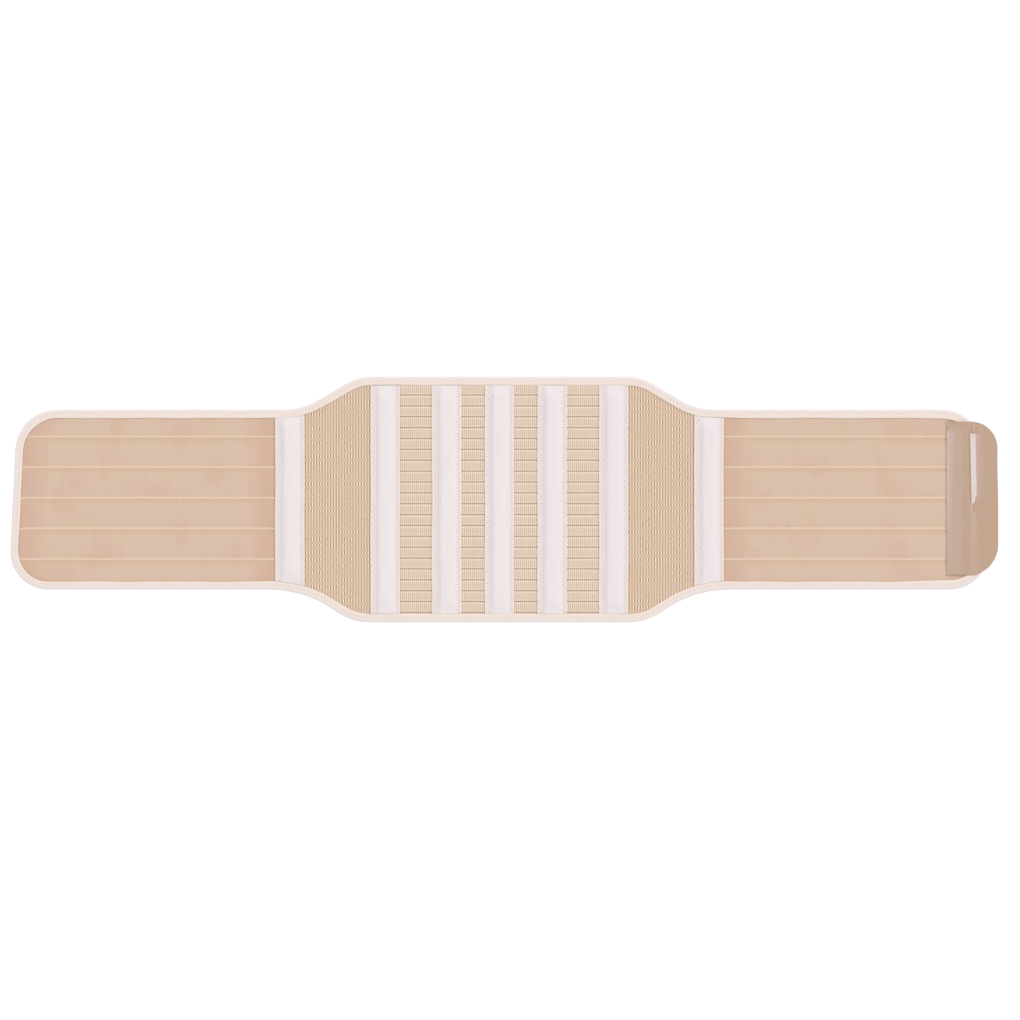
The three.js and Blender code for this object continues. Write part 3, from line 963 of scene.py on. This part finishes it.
def knitted_binding(colours):
    """Soft brushed knit: cream, a little pinker and greyer over the outer fold."""
    sockets = {"Roughness": 0.92, "Specular IOR Level": 0.15, "Sheen Weight": 0.1}
    sockets["Sheen Roughness"] = 0.5
    material, tree, shader = new_material("knitted_binding", sockets)
    # The knit is finer than a pixel, so it is drawn as coarse as it needs to show.
    noises = ((1.2 * MM, 1, 2), (22 * MM, 1, 2))
    fluff, cloud, rim, lip = read_patterns(tree, noises, ("rim", "lip"))
    patch = add_node(tree, "MapRange", {"Value": cloud, 1: 0.4, 2: 0.7, 3: 0, 4: 0.5})
    edge = add_node(tree, "Math", {0: rim, 1: patch}, operation="MAXIMUM")
    layers = ((edge, colours.binding_rim), (lip, colours.binding_lip))
    dress(tree, shader, colours.binding, layers, fluff, 0.25 * MM, 0.4)
    return material


class BRACE_OT_binding(bpy.types.Operator):
    """Makes the edge binding and sews it down"""

    bl_idname = "brace.binding"
    bl_label = "Make edge binding"

    def execute(self, context):
        sizes, colours = context.scene.brace_sizes, context.scene.brace_colours
        piece = make_binding(sizes, knitted_binding(colours))
        stitching = sew_binding(sizes, sewing_thread("binding_thread", colours.thread_binding))
        return {"FINISHED"}


# Hook tab

# How high the hook sheet's underside lies at each distance in from the belt's edge, in millimetres:
# drooping past the end, over the binding there, and down onto the wing.
TAB_UNDER = np.array([
    (-16, 0.8), (-9, 2.3), (-3, 3.6), (1, 3.85), (9, 3.85), (12, 3.5), (15, 3.08), (60, 3.05),
])
# Height of its upper side above the part that lies on the wing, by the distance in from the belt's
# end: a sharp fold with a crease at its foot in the upper half, a gentler ridge in the lower half, and
# a plain rise where they end.
TAB_SHARP = np.array([
    (-13, -0.95), (-9, -0.15), (-3, 1.05), (0, 1.3), (2, 1.34), (5, 1.29), (7.7, 1.11), (9.7, 0.87),
    (14.9, -0.02), (15.4, -0.55), (16.1, 0), (60, 0),
])
TAB_GENTLE = np.array([
    (-13, -1), (-9, -0.4), (-3, 0.5), (0, 0.6), (9.8, 0.66), (15.2, 0), (60, 0),
])
TAB_PLAIN = np.array([(-13, -0.95), (-9, -0.15), (-3, 1.05), (0, 1.3), (11.3, 1.28), (14.9, 0), (60, 0)])
# Fall of its upper side towards its inner edge, by the distance from that edge.
TAB_LIP = np.array([(0, -1.3), (1.4, -0.93), (5.4, -0.44), (8, -0.24), (14.6, 0), (60, 0)])
# The sheet's rise where the binding passes under its upper corner: a point, and the way up from it.
TAB_CORNER = np.array([(446.8, 70.6), (0.306, 0.952)])
# The belt's end under the sheet along X in millimetres, and how far it leans in for each millimetre up.
TAB_END = 474.6
TAB_LEAN = 0.02
# How far the sheet's outer edge draws in towards its top.
TAB_TAPER = 0.7 * MM
# The distances in from the end, in millimetres, over which the fold's crest turns into its slope, and
# the place of the crease at the slope's foot.
TAB_SLOPE = (4, 8)
TAB_CREASE = 15.4
# Heights on the belt, in millimetres, over which these change: the lower half to the upper one, the
# gentle ridge to plain, the sharp fold to plain, and the fall at the inner edge to half of it.
TAB_UPPER_HALF = (-18, 8)
TAB_GENTLE_TOP = (-12, -8.5)
TAB_SHARP_TOP = (64.4, 66.2)
TAB_LIP_TOP = (65, 74)
# Below this the sheet bends down.
TAB_FOOT = -73.3
TAB_ROWS = 130
TAB_COLUMNS = 150


def profile(table, place, softness):
    """A height read from a table of places and heights in millimetres, softened as a bent sheet is."""
    shifts = np.linspace(-softness, softness, 5)
    return np.mean([np.interp(place + shift, *table.T) for shift in shifts], axis=0)


def tab_upper_side(x, y, edge):
    """Height of the sheet's upper side above the part on the wing, and its sharp crease, from 0 to 1."""
    from_end = TAB_END - TAB_LEAN * np.maximum(y, 0) - x
    slope = ease(*TAB_SLOPE, from_end)
    upper_half = ease(*TAB_UPPER_HALF, y)
    crest = (1 - slope) * upper_half
    sharp_foot = np.clip(2.2 - 4 * (from_end - 9.7), -4.5, 3)
    sharp = crest + slope * ease(-2.5, 1, y - sharp_foot) * (1 - ease(*TAB_SHARP_TOP, y))
    gentle = (1 - slope) - crest + slope * (1 - ease(*TAB_GENTLE_TOP, y))
    # The crease mark says where shade is painted at the fold's foot.
    crease = sharp * hump(from_end - TAB_CREASE, 0.7)
    fold = sharp * profile(TAB_SHARP, from_end, 0.25) + gentle * profile(TAB_GENTLE, from_end, 0.4)
    fold += (1 - sharp - gentle) * profile(TAB_PLAIN, from_end, 0.1) * (0.55 + 0.45 * upper_half)
    above = np.column_stack([x, y]) - TAB_CORNER[0]
    corner = np.clip(above @ TAB_CORNER[1], 0, 4.7) * 0.11
    foot = 0.6 * np.clip(TAB_FOOT - y, 0, 1)
    lip = profile(TAB_LIP, x - edge, 0.2) * (1 - 0.5 * ease(*TAB_LIP_TOP, y))
    return np.maximum(fold, corner * (from_end > TAB_SLOPE[0])) + lip - foot, crease


def make_tab(sizes, material):
    low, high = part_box("hook_tab")
    angles = np.linspace(0, math.pi, TAB_ROWS)
    rows = (low.y + high.y) / 2 - (high.y - low.y) / 2 * np.cos(angles)
    piece = start_grid("hook_tab_sheet", np.linspace(0, 1, TAB_COLUMNS), rows)
    upper = thicken(piece)
    points = points_of(piece)
    y = points[:, 1]
    top, bottom = sizes.tab_top_radius, sizes.tab_bottom_radius
    into_top = np.clip(y - (high.y - top), 0, top)
    into_bottom = np.clip((low.y + bottom) - y, 0, bottom)
    right = high.x - top + np.sqrt(top**2 - into_top**2) - bottom + np.sqrt(bottom**2 - into_bottom**2)
    right -= TAB_TAPER * ease(-5 * MM, 30 * MM, y)
    points[:, 0] = low.x + (right - low.x) * points[:, 0]
    under = profile(TAB_UNDER, inside_distance(points) / MM, 1.5) * MM
    height, crease = tab_upper_side(points[:, 0] / MM, y / MM, low.x / MM)
    over = SEAT + sizes.tab_thickness + height * MM
    points[:, 2] = np.where(upper, np.maximum(over, under + 0.3 * MM), under)
    move_points(piece, points)
    mark(piece, "under", np.where(upper, 0, 1))
    mark(piece, "crease", np.where(upper, crease, 0))
    return finish_piece(piece, material, "hook_tab")


def moulded_hook_sheet(colours):
    """Moulded nylon hook sheet: a smooth, glossy tan back, with fine hooks on its underside."""
    material, tree, shader = new_material("moulded_hook_sheet", {"IOR": 1.5, "Coat Weight": 0.3})
    cloud, under, crease = read_patterns(tree, [(30 * MM, 1, 2)], ("under", "crease"))
    place = add_node(tree, "TexCoord", out="Object")
    # The hooks are finer than a pixel, so they are drawn as coarse as they need to show.
    hooks = add_node(tree, "TexVoronoi", {"Vector": place, "Scale": 1 / (1.8 * MM)})
    deep = add_node(tree, "Math", {0: hooks, 1: under}, operation="MULTIPLY")
    # The crease colour is painted shade at the foot of the sharp fold.
    layers = ((under, colours.hook_field), (crease, colours.hook_crease_painted_shade))
    dress(tree, shader, colours.hook_sheet, layers, deep, 0.6 * MM, 0.8)
    polish = add_node(tree, "MapRange", {"Value": cloud, 3: 0.1, 4: 0.16})
    tree.links.new(polish, shader.inputs["Roughness"])
    return material


class BRACE_OT_hook_tab(bpy.types.Operator):
    """Makes the glossy hook sheet that laps the right wing's end"""

    bl_idname = "brace.hook_tab"
    bl_label = "Make hook tab"

    def execute(self, context):
        make_tab(context.scene.brace_sizes, moulded_hook_sheet(context.scene.brace_colours))
        return {"FINISHED"}


# Stage

# The hook tab mirrors soft boxes that hang above it. Each spans two angles from upright, and has a
# middle along Y and a length in metres, and the stage settings of its power and colour.
TAB_PLACE = Vector((0.462, 0.05, 0))
GLOSS_HEIGHT = 2.5
GLOSS_BOXES = (
    ("gloss_strip", 9.6, 13.4, 0.05, 0.3, "gloss"),
    ("gleam_narrow", 3, 8.5, 0.3, 0.5, "gleam"),
    ("gleam_wide", -1, 8.5, 0.05, 0.9, "gleam"),
)
KEY_PLACE = (1.1, 1.5, 1.8)
KEY_SOFTNESS = math.radians(50)
FLOOR_SIZE = 60
FLOOR_DROP = 0.1 * MM
FARTHEST_SEEN = 100


def add_light(name, kind, place, aim, power, shape, colour=(1, 1, 1), gloss_only=False):
    """A light that faces a point. One that is for gloss only shows in mirrors and lights nothing else."""
    light = bpy.data.lights.new(name, kind)
    light.energy = power
    light.color = colour
    for key, value in shape.items():
        setattr(light, key, value)
    lamp = bpy.data.objects.new(name, light)
    bpy.context.scene.collection.objects.link(lamp)
    lamp.location = place
    lamp.rotation_euler = (Vector(aim) - lamp.location).to_track_quat("-Z", "Y").to_euler()
    lamp.visible_camera = False
    lamp.visible_diffuse = not gloss_only


def make_floor(colours):
    bpy.ops.object.select_all(action="DESELECT")
    bpy.ops.mesh.primitive_plane_add(size=FLOOR_SIZE)
    floor = bpy.context.object
    floor.name = floor.data.name = "floor"
    points = points_of(floor)
    points[:, 2] = CAD_BOX[0].z - FLOOR_DROP
    move_points(floor, points)
    paper, _, _ = new_material(
        "studio_paper",
        {
            "Base Color": colours.floor,
            "Roughness": 1,
            "Specular IOR Level": 0,
            "Emission Color": colours.floor,
            "Emission Strength": 0.2,
        },
    )
    floor.data.materials.append(paper)


def make_camera(stage):
    camera = bpy.data.objects.new("camera", bpy.data.cameras.new("camera"))
    bpy.context.scene.collection.objects.link(camera)
    camera.data.lens = stage.lens
    distance = stage.frame_width * stage.lens / camera.data.sensor_width
    camera.location = (stage.aim_x, stage.aim_y, distance)
    camera.data.clip_end = FARTHEST_SEEN
    bpy.context.scene.camera = camera


def make_sky(stage):
    world = bpy.data.worlds.new("studio")
    bpy.context.scene.world = world
    world.use_nodes = True
    background = world.node_tree.nodes["Background"]
    background.inputs["Color"].default_value = (1, 1, 1, 1)
    background.inputs["Strength"].default_value = stage.sky


class BRACE_OT_stage(bpy.types.Operator):
    """Lays the floor and sets the camera and the studio light"""

    bl_idname = "brace.stage"
    bl_label = "Set stage"

    def execute(self, context):
        stage = context.scene.brace_stage
        make_floor(context.scene.brace_colours)
        make_camera(stage)
        make_sky(stage)
        add_light("key", "SUN", KEY_PLACE, (0, 0, 0), stage.key, {"angle": KEY_SOFTNESS})
        for name, low, high, middle, length, setting in GLOSS_BOXES:
            slopes = [math.tan(math.radians(angle)) for angle in (low, high)]
            near, far = [TAB_PLACE.x - GLOSS_HEIGHT * slope for slope in slopes]
            shape = {"shape": "RECTANGLE", "size": near - far, "size_y": length}
            place = ((near + far) / 2, middle, GLOSS_HEIGHT)
            power = getattr(stage, setting)
            colour = getattr(stage, setting + "_colour")[:3]
            add_light(name, "AREA", place, TAB_PLACE, power, shape, colour, gloss_only=True)
        context.scene.view_settings.view_transform = "Standard"
        return {"FINISHED"}


class BRACE_PT_sidebar(bpy.types.Panel):
    """Lists the brace's pieces in the order in which they are made"""

    bl_idname = "BRACE_PT_sidebar"
    bl_label = "Lumbosacral brace"
    bl_space_type = "VIEW_3D"
    bl_region_type = "UI"
    bl_category = "Brace"

    def draw(self, context):
        for maker in MAKERS:
            self.layout.operator(maker.bl_idname)
        for group_name, kind in GROUPS.items():
            box = self.layout.box()
            for name in kind.__annotations__:
                box.prop(getattr(context.scene, group_name), name)


MAKERS = (
    BRACE_OT_wings,
    BRACE_OT_gussets,
    BRACE_OT_back_panel,
    BRACE_OT_pockets,
    BRACE_OT_binding,
    BRACE_OT_hook_tab,
    BRACE_OT_stage,
)
GROUPS = {"brace_sizes": BraceSizes, "brace_colours": BraceColours, "brace_stage": BraceStage}
CLASSES = (*GROUPS.values(), *MAKERS, BRACE_PT_sidebar)


def register():
    for kind in CLASSES:
        bpy.utils.register_class(kind)
    for name, group in GROUPS.items():
        setattr(bpy.types.Scene, name, PointerProperty(type=group))


def unregister():
    for name in GROUPS:
        delattr(bpy.types.Scene, name)
    for kind in reversed(CLASSES):
        bpy.utils.unregister_class(kind)


def main():
    register()
    bpy.ops.brace.wings()
    bpy.ops.brace.gussets()
    bpy.ops.brace.back_panel()
    bpy.ops.brace.pockets()
    bpy.ops.brace.binding()
    bpy.ops.brace.hook_tab()
    bpy.ops.brace.stage()


if __name__ == "__main__":
    main()
